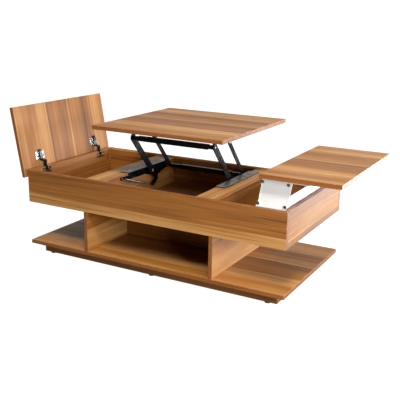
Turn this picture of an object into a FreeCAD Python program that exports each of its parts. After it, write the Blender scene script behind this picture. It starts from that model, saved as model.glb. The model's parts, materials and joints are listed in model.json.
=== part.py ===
"""Lift top coffee table: a shallow box on two dividers and a plinth base, closed by three tops.

Frame: origin on the floor under the middle of the table, +X along its length towards the side
top that swings out, +Y towards the person who uses the raised middle top, +Z up. The rest pose
has all three tops open. Sizes are in millimetres and degrees.
"""
import FreeCAD, Part
import Sketcher
import math
import os

from FreeCAD import Placement, Rotation, Vector

doc = FreeCAD.newDocument("lift_top_coffee_table")
sheet = doc.addObject("Spreadsheet::Sheet", "Sizes")

SIZES = [
    # tops
    ("tops_length", 1200.0), ("tops_depth", 600.0), ("top_board", 16.0), ("tops_gap", 3.0),
    ("side_top_width", 298.5), ("closed_gap", 2.0), ("bumper_height", 1.8), ("bumper_radius", 4.0),
    # carcass
    ("board", 16.0), ("top_overhang", 8.0), ("base_setback", 2.0), ("box_height", 140.0),
    ("divider_height", 172.0), ("divider_outer", 300.0), ("glide_inset", 40.0),
    ("plinth_height", 41.0), ("plinth_inset", 41.0), ("glide_height", 3.0), ("glide_radius", 12.0),
    ("rail_inner", 210.0), ("rail_width", 96.0), ("rail_drop", 6.0),
    # lid hinges
    ("lid_pivot_inset", 7.0), ("lid_pivot_drop", 16.0), ("lid_open", 100.0),
    ("lid_hinge_offset", 190.0), ("lid_arm_width", 14.0), ("lid_arm_half", 3.5),
    ("lid_notch_width", 24.0), ("lid_skin", 3.0), ("lid_pin_radius", 2.5), ("lid_cup_drop", 11.0),
    ("lid_arm_room", 1.2), ("hinge_flange", 52.0), ("hinge_screw_reach", 18.0),
    ("lid_knee_reach", 38.0), ("lid_knee_drop", 8.0), ("lid_rise_reach", 44.0),
    ("lid_arm_length", 42.0), ("lid_arm_drop", 6.0), ("hinge_foot", 36.0), ("hinge_wing", 34.0),
    # raising mechanism of the middle top
    ("bracket_sheet", 3.0), ("arm_sheet", 4.0), ("plane_gap", 0.4), ("link_length", 224.0),
    ("raised_angle", 49.0), ("lowered_angle", -5.6), ("pivot_front", 64.0),
    ("pivot_spacing", 136.0), ("pivot_drop", 16.0), ("front_arm_half", 15.0),
    ("rear_arm_half", 10.5), ("lift_pin_radius", 4.0), ("flange_width", 42.0),
    ("flange_front", 97.0), ("flange_rear", 215.0), ("tail_reach", 51.0), ("tail_half", 9.0),
    ("crank_reach", 53.5), ("crank_drop", 36.0), ("tube_outer", 20.0), ("tube_inner", 15.0),
    ("tube_wall", 2.0), ("tube_outer_half", 165.0), ("lower_tube_half", 128.0),
    # pull springs of the raising mechanism
    ("spring_front", 150.0), ("spring_room", 10.6), ("spring_radius", 5.0), ("spring_ring", 7.0),
    ("spring_wire", 1.8), ("spring_hook", 24.0), ("spring_length", 160.0), ("wire_start", 130.0),
    ("spring_pin_radius", 3.0),
    # swing-out mechanism of the side top
    ("side_room", 26.0), ("side_sheet", 3.0), ("side_gap", 0.5), ("side_link_length", 89.0),
    ("side_open_angle", 97.0), ("side_closed_angle", -11.64), ("side_link_half", 6.5),
    ("side_pivot_height", 378.0), ("side_pivot_left", 462.0), ("side_pivot_spacing", 104.0),
    ("side_slide", 82.0), ("side_pin_radius", 3.0), ("plate_width", 114.0),
    ("plate_low", 364.0), ("plate_lean", 17.0), ("crossbar_height", 42.0),
    ("channel_width", 16.0), ("channel_height", 12.0), ("channel_wall", 1.5),
    ("channel_length", 180.0), ("slide_bar_length", 180.0),
    # fasteners and fits
    ("running_fit", 0.05), ("screw_radius", 4.0), ("screw_head", 1.6), ("cam_radius", 7.5),
]
for row, (alias, value) in enumerate(SIZES, start=1):
    sheet.set("A%d" % row, alias)
    sheet.set("B%d" % row, str(value))
    sheet.setAlias("B%d" % row, alias)
doc.recompute()

NODES = []
# small parts of the carcass and of the front arms are collected here, one node for each kind
fixed_pins = []
base_screws = []
front_arm_pins = []


def size(alias):
    """One driving size, read back from the sheet."""
    return float(sheet.get(alias))


def bind(obj, prop, expression):
    """Bind a property to sheet sizes; names in the expression are aliases of the sheet."""
    aliases = sorted((alias for alias, _ in SIZES), key=len, reverse=True)
    words = []
    for word in expression.replace("(", " ( ").replace(")", " ) ").split():
        words.append("Sizes." + word if word in aliases else word)
    obj.setExpression(prop, " ".join(words))


def node(obj, name):
    """Give an object the label that names its file and list it for export."""
    obj.Label = name
    NODES.append(obj)
    return obj


def box(name, length, width, height, corner, pose=None):
    """A Part::Box whose three sizes are bound to the sheet, with its low corner at a point."""
    solid = doc.addObject("Part::Box", name)
    bind(solid, "Length", length)
    bind(solid, "Width", width)
    bind(solid, "Height", height)
    solid.Placement = (pose or Placement()) * Placement(Vector(*corner), Rotation())
    return solid


def rod(name, radius, height, start, axis, pose=None):
    """A Part::Cylinder bound to the sheet, running from a point along an axis."""
    solid = doc.addObject("Part::Cylinder", name)
    bind(solid, "Radius", radius)
    bind(solid, "Height", height)
    turn = Rotation(Vector(0, 0, 1), Vector(*axis))
    solid.Placement = (pose or Placement()) * Placement(Vector(*start), turn)
    return solid


def group(name, members):
    """Several separate solids that share one node."""
    bundle = doc.addObject("Part::Compound", name)
    bundle.Links = members
    return bundle


def cut(name, base, tools):
    """A base solid less one or more tools."""
    result = doc.addObject("Part::Cut", name)
    result.Base = base
    result.Tool = tools[0] if len(tools) == 1 else group(name + "_tools", tools)
    return result


def fuse(name, members):
    """Several touching solids made one."""
    result = doc.addObject("Part::MultiFuse", name)
    result.Shapes = members
    return result


def plane_sketch(body, name):
    """A sketch attached to the body's own XY plane."""
    sketch = body.newObject("Sketcher::SketchObject", name)
    origin = [feature for feature in body.Origin.OriginFeatures if feature.Role == "XY_Plane"]
    sketch.AttachmentSupport = [(origin[0], "")]
    sketch.MapMode = "FlatFace"
    return sketch


def fix_point(sketch, index, vertex, point):
    """Hold one vertex of a sketch at a distance from the sketch's origin."""
    sketch.addConstraint(Sketcher.Constraint("DistanceX", -1, 1, index, vertex, point[0]))
    sketch.addConstraint(Sketcher.Constraint("DistanceY", -1, 1, index, vertex, point[1]))


def draw_holes(sketch, holes):
    """Holes given as (centre, radius)."""
    for centre, radius in holes:
        circle = Part.Circle(Vector(centre[0], centre[1], 0), Vector(0, 0, 1), radius)
        index = sketch.addGeometry(circle)
        sketch.addConstraint(Sketcher.Constraint("Radius", index, radius))
        fix_point(sketch, index, 3, centre)


def draw_polygon(sketch, points):
    """A closed outline of straight edges."""
    ends = [Vector(x, y, 0) for x, y in points]
    lines = [sketch.addGeometry(Part.LineSegment(ends[i - 1], ends[i])) for i in range(len(ends))]
    for i, line in enumerate(lines):
        follower = lines[(i + 1) % len(lines)]
        sketch.addConstraint(Sketcher.Constraint("Coincident", line, 2, follower, 1))
        fix_point(sketch, line, 2, points[i])


def draw_capsule(sketch, first, second, radius):
    """A straight bar outline with round ends about two centres."""
    start = Vector(first[0], first[1], 0)
    end = Vector(second[0], second[1], 0)
    along = (end - start).normalize()
    across = Vector(-along.y, along.x, 0) * radius
    turn = math.atan2(along.y, along.x)
    normal = Vector(0, 0, 1)
    quarter = math.pi / 2
    cap_end = Part.ArcOfCircle(Part.Circle(end, normal, radius), turn - quarter, turn + quarter)
    cap_start = Part.ArcOfCircle(Part.Circle(start, normal, radius), turn + quarter, turn + 3 * quarter)
    a = sketch.addGeometry(cap_end)
    b = sketch.addGeometry(Part.LineSegment(end + across, start + across))
    c = sketch.addGeometry(cap_start)
    d = sketch.addGeometry(Part.LineSegment(start - across, end - across))
    for one, other in ((a, b), (b, c), (c, d), (d, a)):
        sketch.addConstraint(Sketcher.Constraint("Tangent", one, 2, other, 1))
    sketch.addConstraint(Sketcher.Constraint("Radius", a, radius))
    fix_point(sketch, a, 3, second)
    fix_point(sketch, c, 3, first)


def plate(name, thickness, pose, outlines=(), bars=(), holes=()):
    """A sheet part: polygons and round-ended bars padded to one thickness, then pierced."""
    body = doc.addObject("PartDesign::Body", name)
    drawings = [(draw_polygon, (outline,)) for outline in outlines]
    drawings += [(draw_capsule, bar) for bar in bars]
    for index, (draw, values) in enumerate(drawings):
        sketch = plane_sketch(body, "%s_outline%d" % (name, index))
        draw(sketch, *values)
        pad = body.newObject("PartDesign::Pad", "%s_pad%d" % (name, index))
        pad.Profile = sketch
        bind(pad, "Length", thickness)
        sketch.Visibility = False
    if holes:
        sketch = plane_sketch(body, name + "_holes")
        draw_holes(sketch, holes)
        pocket = body.newObject("PartDesign::Pocket", name + "_pocket")
        pocket.Profile = sketch
        pocket.Type = 1
        pocket.Reversed = True
    body.Placement = pose
    return body


def yz_pose(x, y=0.0, z=0.0):
    """Drawing plane seen along -X: drawing x is +Y, drawing y is +Z, thickness is +X."""
    return Placement(Vector(x, y, z), Rotation(Vector(0, 1, 0), Vector(0, 0, 1), Vector(1, 0, 0)))


def xz_pose(y, x=0.0, z=0.0):
    """Drawing plane seen along +Y: drawing x is +X, drawing y is +Z, thickness is -Y."""
    return Placement(Vector(x, y, z), Rotation(Vector(1, 0, 0), Vector(0, 0, 1), Vector(0, -1, 0)))


def arm_pose(x, pivot, angle):
    """Drawing x runs from a lower pivot towards the upper one, leaning towards -Y."""
    slope = math.radians(angle)
    along = Vector(0, -math.cos(slope), math.sin(slope))
    below = Vector(0, -math.sin(slope), -math.cos(slope))
    return Placement(Vector(x, *pivot), Rotation(along, below, Vector(1, 0, 0)))


def plane_start(side, near, thickness):
    """Low X (or Y) of a sheet whose near face lies at a distance from the middle plane."""
    return near if side > 0 else -near - thickness


# ---- levels and places worked out from the driving sizes ----
board = size("board")
half_length = size("tops_length") / 2 - size("top_overhang")
half_depth = size("tops_depth") / 2 - size("top_overhang")
half_base = half_depth - size("base_setback")
inner_depth = half_depth - board
base_low = size("glide_height") + size("plinth_height")
base_top = base_low + board
box_low = base_top + size("divider_height")
box_floor = box_low + board
rim = box_low + size("box_height")
closed_low = rim + size("closed_gap")
half_top_depth = size("tops_depth") / 2
half_tops = size("tops_length") / 2
side_top_inner = half_tops - size("side_top_width")
middle_half = side_top_inner - size("tops_gap")
rail_inner = size("rail_inner")
rail_outer = rail_inner + size("rail_width")
rail_top = rim - size("rail_drop")
BOX_LENGTH = "tops_length - 2 * top_overhang"
BOX_DEPTH = "tops_depth - 2 * top_overhang"
BASE_DEPTH = BOX_DEPTH + " - 2 * base_setback"
INNER_DEPTH = BOX_DEPTH + " - 2 * board"
SIDES = (("left", -1), ("right", 1))
ENDS = (("front", -1), ("rear", 1))


def carcass():
    """Plinth, base panel, dividers, the shallow box and its inner rails."""
    plinth_x = half_length - size("plinth_inset")
    plinth_y = half_base - size("plinth_inset")
    low = size("glide_height")
    rows = (-plinth_y + board / 2, plinth_y - board / 2)
    corner = plinth_x - size("glide_inset")
    places = [(x, y) for y in rows for x in (-corner, 0.0, corner)] + [(0.0, 0.0)]
    glides = [rod("glide", "glide_radius", "glide_height", (x, y, 0), (0, 0, 1)) for x, y in places]
    node(group("glides", glides), "glides")
    for name, side in ENDS:
        y = plinth_y - board if side > 0 else -plinth_y
        long_board = box("plinth_" + name, BOX_LENGTH + " - 2 * plinth_inset", "board",
                         "plinth_height", (-plinth_x, y, low))
        node(long_board, "plinth_" + name)
    for name, x in (("left", -plinth_x), ("middle", -board / 2), ("right", plinth_x - board)):
        short_board = box("plinth_" + name, "board", BASE_DEPTH + " - 2 * plinth_inset - 2 * board",
                          "plinth_height", (x, -plinth_y + board, low))
        node(short_board, "plinth_" + name)
    base = box("base_panel", BOX_LENGTH, BASE_DEPTH, "board", (-half_length, -half_base, base_low))
    node(base, "base_panel")
    for name, side in SIDES:
        x = plane_start(side, size("divider_outer") - board, board)
        divider = box("divider_" + name, "board", BASE_DEPTH, "divider_height",
                      (x, -half_base, base_top))
        node(divider, "divider_" + name)
    x = size("divider_outer") - board
    node(box("middle_panel", "2 * divider_outer - 2 * board", "board", "divider_height",
             (-x, -board / 2, base_top)), "middle_panel")
    node(box("box_bottom", BOX_LENGTH + " - 2 * board", INNER_DEPTH, "board",
             (-half_length + board, -inner_depth, box_low)), "box_bottom")
    for name, side in ENDS:
        y = plane_start(side, inner_depth, board)
        wall = box("box_" + name, BOX_LENGTH, "board", "box_height", (-half_length, y, box_low))
        node(wall, "box_" + name)
    node(box("box_end_right", "board", INNER_DEPTH, "box_height",
             (half_length - board, -inner_depth, box_low)), "box_end_right")
    plain_end = box("end_board", "board", INNER_DEPTH, "box_height",
                    (-half_length, -inner_depth, box_low))
    node(cut("box_end_left", plain_end, lid_notches()), "box_end_left")
    for name, side in SIDES:
        x = plane_start(side, rail_inner, size("rail_width"))
        node(box("rail_" + name, "rail_width", INNER_DEPTH, "board",
                 (x, -inner_depth, rail_top - board)), "rail_" + name)
        for place, near in (("inner", rail_inner), ("outer", rail_outer - board)):
            web = box("partition", "board", INNER_DEPTH, "box_height - 2 * board - rail_drop",
                      (plane_start(side, near, board), -inner_depth, box_floor))
            node(web, "partition_%s_%s" % (name, place))
    node(group("rim_bumpers", bumpers()), "rim_bumpers")
    node(group("cam_locks", cam_locks()), "cam_locks")


def bumpers():
    """Soft dots on the front and back walls that the closed tops rest on."""
    inset = 24.0
    places = (-half_length + inset, -side_top_inner - inset, -middle_half + inset,
              middle_half - inset, side_top_inner + inset, half_length - inset)
    y = inner_depth + board / 2
    return [rod("bumper", "bumper_radius", "bumper_height", (x, side * y, rim), (0, 0, 1))
            for x in places for _, side in ENDS]


def cam_locks():
    """Round metal cam covers on the inside faces that hold the box together."""
    wall_cam = (half_length - board, inner_depth - 25.0, rim - 42.0)
    rail_cam = (rail_inner, inner_depth - 44.0, rim - 84.0)
    locks = []
    for _, end in ENDS:
        for _, side in SIDES:
            for face, y, z in (wall_cam, rail_cam):
                locks.append(rod("cam", "cam_radius", "screw_head / 2",
                                 (side * face, end * y, z), (-side, 0, 0)))
    return locks


# ---- left lid on two inset hinges ----
lid_pivot = Vector(-half_length + size("lid_pivot_inset"), 0, rim - size("lid_pivot_drop"))
lid_pose = Placement(Vector(), Rotation(Vector(0, 1, 0), -size("lid_open")), lid_pivot)
hinge_rows = (-size("lid_hinge_offset"), size("lid_hinge_offset"))
notch_x = -half_length + size("lid_skin")
notch_low = lid_pivot.z - size("lid_cup_drop")
NOTCH_DEPTH = "board - lid_skin"


def lid_notches():
    """Room for the two hinge cups in the top of the left end wall."""
    return [box("notch", NOTCH_DEPTH, "lid_notch_width", "lid_pivot_drop + lid_cup_drop + board",
                (notch_x, y - size("lid_notch_width") / 2, notch_low)) for y in hinge_rows]


def hinge_cup(y):
    """A steel cup that fills the notch, with a flange screwed to the wall's inner face."""
    slot_half = (size("lid_arm_width") + size("lid_arm_room")) / 2
    floor = 4.0
    face = -half_length + board
    cup = box("cup", NOTCH_DEPTH, "lid_notch_width", "lid_pivot_drop + lid_cup_drop - 4",
              (notch_x, y - size("lid_notch_width") / 2, notch_low))
    flange = box("flange", "bracket_sheet / 2", "hinge_flange", "lid_notch_width",
                 (face, y - size("hinge_flange") / 2, notch_low - 3))
    room = box("room", NOTCH_DEPTH + " + 2 * bracket_sheet", "lid_arm_width + lid_arm_room",
               "box_height", (notch_x - 1, y - slot_half, notch_low + floor))
    bore = rod("bore", "lid_pin_radius", "2 * lid_notch_width",
               (lid_pivot.x, y - size("lid_notch_width"), lid_pivot.z), (0, 1, 0))
    return cut("hinge_cup", fuse("cup_blank", [cup, flange]), [room, bore])


def hinge_arm(y):
    """A cranked arm from the pivot to the underside of the lid, drawn with the lid closed."""
    half = size("lid_arm_half")
    pivot = (lid_pivot.x, lid_pivot.z)
    knee = (lid_pivot.x + size("lid_knee_reach"), lid_pivot.z - size("lid_knee_drop"))
    rise = (lid_pivot.x + size("lid_rise_reach"), closed_low - size("lid_arm_drop"))
    tip = (rise[0] + size("lid_arm_length"), rise[1])
    bars = [(pivot, knee, half), (knee, rise, half), (rise, tip, half)]
    pose = lid_pose * xz_pose(y + size("lid_arm_width") / 2)
    hole = [(pivot, size("lid_pin_radius") + size("running_fit"))]
    return plate("hinge_arm", "lid_arm_width", pose, bars=bars, holes=hole)


def left_lid():
    """The left top, turned up past the vertical on its two hinges."""
    node(box("left_lid", "side_top_width", "tops_depth", "top_board",
             (-half_tops, -half_top_depth, closed_low), lid_pose), "left_lid")
    node(group("hinge_cups", [hinge_cup(y) for y in hinge_rows]), "hinge_cups")
    node(group("hinge_arms", [hinge_arm(y) for y in hinge_rows]), "hinge_arms")
    pins = [rod("hinge_pin", "lid_pin_radius", "lid_notch_width",
                (lid_pivot.x, y - size("lid_notch_width") / 2, lid_pivot.z), (0, 1, 0))
            for y in hinge_rows]
    fixed_pins.extend(pins)
    plates = []
    for y in hinge_rows:
        x = lid_pivot.x + size("lid_rise_reach")
        foot = box("foot", "hinge_foot", "lid_arm_width + 4", "closed_gap / 2 + 1.5",
                   (x, y - size("lid_arm_width") / 2 - 2, closed_low - 2.5), lid_pose)
        wings = box("wings", "hinge_wing", "hinge_flange", "closed_gap / 2 + 0.5",
                    (x + 3, y - size("hinge_flange") / 2, closed_low - 1.5), lid_pose)
        plates.append(fuse("hinge_plate", [foot, wings]))
    node(group("hinge_plates", plates), "hinge_plates")
    reaches = (-size("hinge_screw_reach"), size("hinge_screw_reach"))
    lid_screws = [rod("lid_screw", "screw_radius", "screw_head",
                      (lid_pivot.x + 60.0, y + reach, closed_low - 1.5 - size("screw_head")),
                      (0, 0, 1), lid_pose) for y in hinge_rows for reach in reaches]
    node(group("lid_screws", lid_screws), "lid_screws")
    face = -half_length + board + size("bracket_sheet") / 2
    cup_screws = [rod("cup_screw", "screw_radius", "screw_head",
                      (face, y + reach, lid_pivot.z - 2.0), (1, 0, 0))
                  for y in hinge_rows for reach in reaches]
    base_screws.extend(cup_screws)


# ---- raising mechanism of the middle top ----
raised = math.radians(size("raised_angle"))
lowered = math.radians(size("lowered_angle"))
link = size("link_length")
lift_rise = link * (math.sin(raised) - math.sin(lowered))
lift_shift = link * (math.cos(lowered) - math.cos(raised))
lift_pose = Placement(Vector(0, lift_shift, lift_rise), Rotation())
pivot_z = rail_top - size("pivot_drop")
front_pivot = (size("pivot_front"), pivot_z)
rear_pivot = (size("pivot_front") + size("pivot_spacing"), pivot_z)
lowered_reach = (-link * math.cos(lowered), link * math.sin(lowered))
sheet_thick = size("bracket_sheet")
arm_thick = size("arm_sheet")
base_plane = rail_inner - sheet_thick
spring_plane = base_plane - size("spring_room") / 2
front_plane = base_plane - size("spring_room") - arm_thick
top_plane = front_plane - size("plane_gap") - sheet_thick
rear_plane = top_plane - size("plane_gap") - arm_thick
pin_hole = size("lift_pin_radius") + size("running_fit")
spring_anchor = (-size("spring_front"), pivot_z + 3.0)
eye_half = 2.0


def shifted(point, offset):
    """A drawing point moved by an offset."""
    return (point[0] + offset[0], point[1] + offset[1])


def base_bracket(name, side):
    """A folded steel bracket: flange on the rail, web on its inner face, nose for the spring."""
    front = -size("flange_front")
    rear = size("flange_rear")
    low = pivot_z - 12.0
    sheet_top = rail_top + sheet_thick
    belly_low = pivot_z - 38.0
    outline = [(front, sheet_top), (front, low + 3.0), (front_pivot[0] - 36.0, low),
               (front_pivot[0] + 20.0, belly_low + 12.0), (front_pivot[0] + 52.0, belly_low),
               (rear_pivot[0] - 36.0, low - 8.0), (rear, low), (rear, sheet_top)]
    nose = ((front + 6.0, pivot_z), spring_anchor, 7.0)
    holes = [(front_pivot, pin_hole), (rear_pivot, pin_hole), (spring_anchor, size("spring_pin_radius"))]
    web = plate("base_web", "bracket_sheet", yz_pose(plane_start(side, base_plane, sheet_thick)),
                outlines=[outline], bars=[nose], holes=holes)
    width = size("flange_width") + sheet_thick
    flange = box("base_flange", "flange_width + bracket_sheet", "flange_front + flange_rear",
                 "bracket_sheet", (plane_start(side, base_plane, width), front, rail_top))
    slots = []
    for y in (front + 150.0, front + 205.0, front + 250.0):
        x = plane_start(side, rail_inner + 12.0, 22.0)
        slots.append(box("slot", "22", "6", "4 * bracket_sheet", (x, y, rail_top - sheet_thick)))
    node(fuse(name, [web, cut("slotted_flange", flange, slots)]), name)


def top_bracket(name, side):
    """A folded bracket under the middle top that carries the two upper pivots."""
    ends = [shifted(pivot, lowered_reach) for pivot in (front_pivot, rear_pivot)]
    front = ends[0][0] - 16.0
    rear = ends[1][0] + 16.0
    skirt = closed_low - 16.0
    outline = [(front, closed_low), (front, skirt), (rear, skirt), (rear, closed_low)]
    bars = [((end[0], skirt + 3.0), end, radius) for end, radius in zip(ends, (12.0, 9.0))]
    start = plane_start(side, top_plane, sheet_thick)
    web = plate("top_web", "bracket_sheet", lift_pose * yz_pose(start), outlines=[outline],
                bars=bars, holes=[(end, pin_hole) for end in ends])
    flange = box("top_flange", "flange_width", "%s" % (rear - front), "bracket_sheet",
                 (plane_start(side, top_plane + sheet_thick - size("flange_width"),
                              size("flange_width")), front, closed_low - sheet_thick), lift_pose)
    node(fuse(name, [web, flange]), name)


def front_arm(name, side):
    """The wide arm, with a hooked tail below its pivot that the spring pulls."""
    elbow = (-size("tail_reach"), 0.0)
    crank = (-size("crank_reach"), size("crank_drop"))
    bars = [((0.0, 0.0), (link, 0.0), size("front_arm_half")),
            ((0.0, 0.0), elbow, size("tail_half") + 2.0), (elbow, crank, size("tail_half"))]
    holes = [((0.0, 0.0), pin_hole), ((link, 0.0), pin_hole), (crank, size("spring_pin_radius"))]
    pose = arm_pose(plane_start(side, front_plane, arm_thick), front_pivot, size("raised_angle"))
    node(plate(name, "arm_sheet", pose, bars=bars, holes=holes), name)


def rear_arm(name, side):
    """The narrow arm that keeps the top level."""
    bars = [((0.0, 0.0), (link, 0.0), size("rear_arm_half")), ((0.0, 0.0), (20.0, 0.0), 11.0)]
    holes = [((0.0, 0.0), pin_hole), ((link, 0.0), pin_hole)]
    pose = arm_pose(plane_start(side, rear_plane, arm_thick), rear_pivot, size("raised_angle"))
    node(plate(name, "arm_sheet", pose, bars=bars, holes=holes), name)


def cross_tube(name, centre, half, reach):
    """A square tube with a smaller square tube showing at both ends."""
    outer = size("tube_outer")
    inner = size("tube_inner")
    wall = size("tube_wall")
    bore = outer - 2 * wall
    sleeve = box("sleeve", "%s" % (2 * half), "tube_outer", "tube_outer",
                 (-half, centre[0] - outer / 2, centre[1] - outer / 2))
    hollow = box("hollow", "%s" % (2 * half + 2), "tube_outer - 2 * tube_wall",
                 "tube_outer - 2 * tube_wall",
                 (-half - 1, centre[0] - bore / 2, centre[1] - bore / 2))
    node(cut(name + "_sleeve", sleeve, [hollow]), name + "_sleeve")
    ends = []
    for _, side in SIDES:
        x = plane_start(side, half - 40.0, reach - half + 40.0)
        ends.append(box("tube_end", "%s" % (reach - half + 40.0), "tube_inner", "tube_inner",
                        (x, centre[0] - inner / 2, centre[1] - inner / 2)))
    node(group(name + "_ends", ends), name + "_ends")


def pin_between(radius, side, near, far, place):
    """A pin along X between two distances from the middle plane."""
    start = plane_start(side, near, far - near)
    return rod("pin", radius, "%s" % (far - near), (start, *place), (1, 0, 0))


def lift_pins():
    """Pivot pins of the raising mechanism, on the parts that hold them."""
    raised_reach = (-link * math.cos(raised), link * math.sin(raised))
    upper_front = shifted(front_pivot, raised_reach)
    upper_rear = shifted(rear_pivot, raised_reach)
    base_pins = []
    front_pins = []
    top_pins = []
    head = 2.0
    running = size("plane_gap") / 4
    for _, side in SIDES:
        stem = pin_between("lift_pin_radius", side, front_plane - head, rail_inner, front_pivot)
        cap = pin_between("lift_pin_radius * 1.6", side, front_plane - head,
                          front_plane - size("plane_gap") / 4, front_pivot)
        spacer = pin_between("lift_pin_radius * 1.6", side, front_plane + arm_thick + running,
                             base_plane - running, front_pivot)
        base_pins.append(fuse("front_pin", [stem, cap, spacer]))
        stem = pin_between("lift_pin_radius", side, rear_plane, rail_inner, rear_pivot)
        spacer = pin_between("lift_pin_radius * 1.6", side, top_plane, base_plane - running,
                             rear_pivot)
        base_pins.append(fuse("rear_pin", [stem, spacer]))
        base_pins.append(pin_between("spring_pin_radius", side, spring_plane - eye_half - 1.0,
                                     rail_inner, spring_anchor))
        front_pins.append(pin_between("lift_pin_radius", side, rear_plane + arm_thick,
                                      front_plane + arm_thick, upper_front))
        top_pins.append(pin_between("lift_pin_radius", side, rear_plane, front_plane - 0.2,
                                    upper_rear))
    fixed_pins.extend(base_pins)
    front_arm_pins.extend(front_pins)
    node(group("upper_rear_pins", top_pins), "upper_rear_pins")
    return upper_front


def crank_point():
    """Where the spring hooks on to the tail of the raised front arm."""
    along = (-math.cos(raised), math.sin(raised))
    below = (-math.sin(raised), -math.cos(raised))
    reach = -size("crank_reach")
    drop = size("crank_drop")
    return (front_pivot[0] + reach * along[0] + drop * below[0],
            front_pivot[1] + reach * along[1] + drop * below[1])


def springs():
    """A pull spring each side: hooked coil body in front, hooked draw wire behind."""
    crank = crank_point()
    span = math.dist(spring_anchor, crank)
    along = ((crank[0] - spring_anchor[0]) / span, (crank[1] - spring_anchor[1]) / span)
    ring = size("spring_ring")
    wire_start = size("wire_start")
    eye_hole = size("spring_pin_radius") + 0.3
    coils = []
    wires = []
    axis = (0, along[0], along[1])

    def on_axis(x, distance):
        return (x, spring_anchor[0] + along[0] * distance, spring_anchor[1] + along[1] * distance)

    for _, side in SIDES:
        x = side * spring_plane
        start = x - eye_half
        coil = rod("coil", "spring_radius", "spring_length", on_axis(x, size("spring_hook")), axis)
        hollow = rod("coil_bore", "spring_wire + 1.2", "spring_length + 2",
                     on_axis(x, size("spring_hook") + 3.0), axis)
        hook = rod("hook", "spring_wire", "%s" % (size("spring_hook") + 1.0 - ring),
                   on_axis(x, ring - 0.5), axis)
        eye = plate("spring_eye", "4", yz_pose(start), outlines=[ring_outline(spring_anchor, ring)],
                    holes=[(spring_anchor, eye_hole)])
        coils.append(fuse("pull_spring", [cut("coil_body", coil, [hollow]), hook, eye]))
        wire = rod("wire", "spring_wire", "%s" % (span - ring + 0.5 - wire_start),
                   on_axis(x, wire_start), axis)
        far_eye = plate("wire_eye", "4", yz_pose(start), outlines=[ring_outline(crank, ring)],
                        holes=[(crank, eye_hole)])
        wires.append(fuse("draw_wire", [wire, far_eye]))
        front_arm_pins.append(pin_between("spring_pin_radius", side, front_plane,
                                          spring_plane - eye_half - 1.0, crank))
    node(group("spring_coils", coils), "spring_coils")
    node(group("spring_wires", wires), "spring_wires")


def ring_outline(centre, radius):
    """A twelve-sided outline around a centre."""
    steps = [2 * math.pi * step / 12 for step in range(12)]
    return [(centre[0] + radius * math.cos(a), centre[1] + radius * math.sin(a)) for a in steps]


def lifting_top():
    """The middle top, raised on its two pairs of arms."""
    panel = box("middle_top", "tops_length - 2 * side_top_width - 2 * tops_gap", "tops_depth",
                "top_board", (-middle_half, -half_top_depth, closed_low), lift_pose)
    node(panel, "middle_top")
    for name, side in SIDES:
        base_bracket("base_bracket_" + name, side)
        top_bracket("top_bracket_" + name, side)
        front_arm("front_arm_" + name, side)
        rear_arm("rear_arm_" + name, side)
    upper_front = lift_pins()
    cross_tube("upper_tube", upper_front, size("tube_outer_half"), rear_plane + arm_thick)
    cross_tube("lower_tube", rear_pivot, size("lower_tube_half"), rear_plane)
    springs()
    top_screws = []
    for _, side in SIDES:
        for y in (-60.0, 20.0, 190.0):
            x = side * (rail_inner + 23.0)
            base_screws.append(rod("screw", "screw_radius", "screw_head",
                                   (x, y, rail_top + sheet_thick), (0, 0, 1)))
        for y in (-140.0, -90.0, -40.0):
            x = side * (top_plane - 20.0)
            z = closed_low - sheet_thick - size("screw_head")
            top_screws.append(rod("screw", "screw_radius", "screw_head", (x, y, z), (0, 0, 1),
                                  lift_pose))
    node(group("top_screws", top_screws), "top_screws")


# ---- side top that swings and slides out to the right ----
side_link = size("side_link_length")
side_open = math.radians(size("side_open_angle"))
side_closed = math.radians(size("side_closed_angle"))
side_rise = side_link * (math.sin(side_open) - math.sin(side_closed))
side_swing = side_link * (math.cos(side_closed) - math.cos(side_open))
side_pose = Placement(Vector(side_swing + size("side_slide"), 0, side_rise), Rotation())
plate_face = inner_depth - size("side_room")
side_thick = size("side_sheet")
link_near = plate_face + size("side_gap")
web_near = link_near + side_thick + 3.0
upper_pivots = [(size("side_pivot_left") + step * size("side_pivot_spacing"),
                 size("side_pivot_height")) for step in (0, 1)]
base_offset = (side_link * math.cos(side_open), -side_link * math.sin(side_open))
base_pivots = [shifted(pivot, base_offset) for pivot in upper_pivots]
side_hole = size("side_pin_radius") + size("running_fit")
channel_low = closed_low + side_rise - size("channel_height")
shelf_top = channel_low - 1.3


def across_pin(radius, side, near, far, place):
    """A pin along Y between two distances from the middle plane."""
    start = plane_start(side, near, far - near)
    return rod("pin", radius, "%s" % (far - near), (place[0], start, place[1]), (0, 1, 0))


def side_plate(name, side):
    """An upright plate that leans with the open mechanism, with a shelf for the slide bar."""
    low = size("plate_low")
    left = size("side_pivot_left") - 5.0
    lean = size("plate_lean")
    outline = [(left, low), (left + size("plate_width"), low),
               (left + size("plate_width") + lean, shelf_top), (left + lean, shelf_top)]
    start = plane_start(side, plate_face - side_thick, side_thick) + side_thick
    upright = plate("side_upright", "side_sheet", xz_pose(start), outlines=[outline],
                    holes=[(pivot, side_hole) for pivot in upper_pivots])
    shelf = box("shelf", "slide_bar_length", "channel_width", "side_sheet",
                (left + lean, plane_start(side, plate_face - size("channel_width"),
                                          size("channel_width")), shelf_top - side_thick))
    node(fuse(name, [upright, shelf]), name)


def slide_bar(side):
    """A T-shaped bar on the plate's shelf that runs inside the top's channel."""
    x = size("side_pivot_left") - 5.0 + size("plate_lean")
    middle = plate_face - size("channel_width") / 2
    stem_top = channel_low + size("channel_wall") + 1.5
    stem = box("stem", "slide_bar_length", "side_sheet", "%s" % (stem_top - shelf_top + 1.0),
               (x, side * middle - side_thick / 2, shelf_top))
    runner = box("runner", "slide_bar_length", "channel_width - 6", "4.5",
                 (x, side * middle - (size("channel_width") - 6) / 2, stem_top))
    return fuse("slide_bar", [stem, runner])


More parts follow.
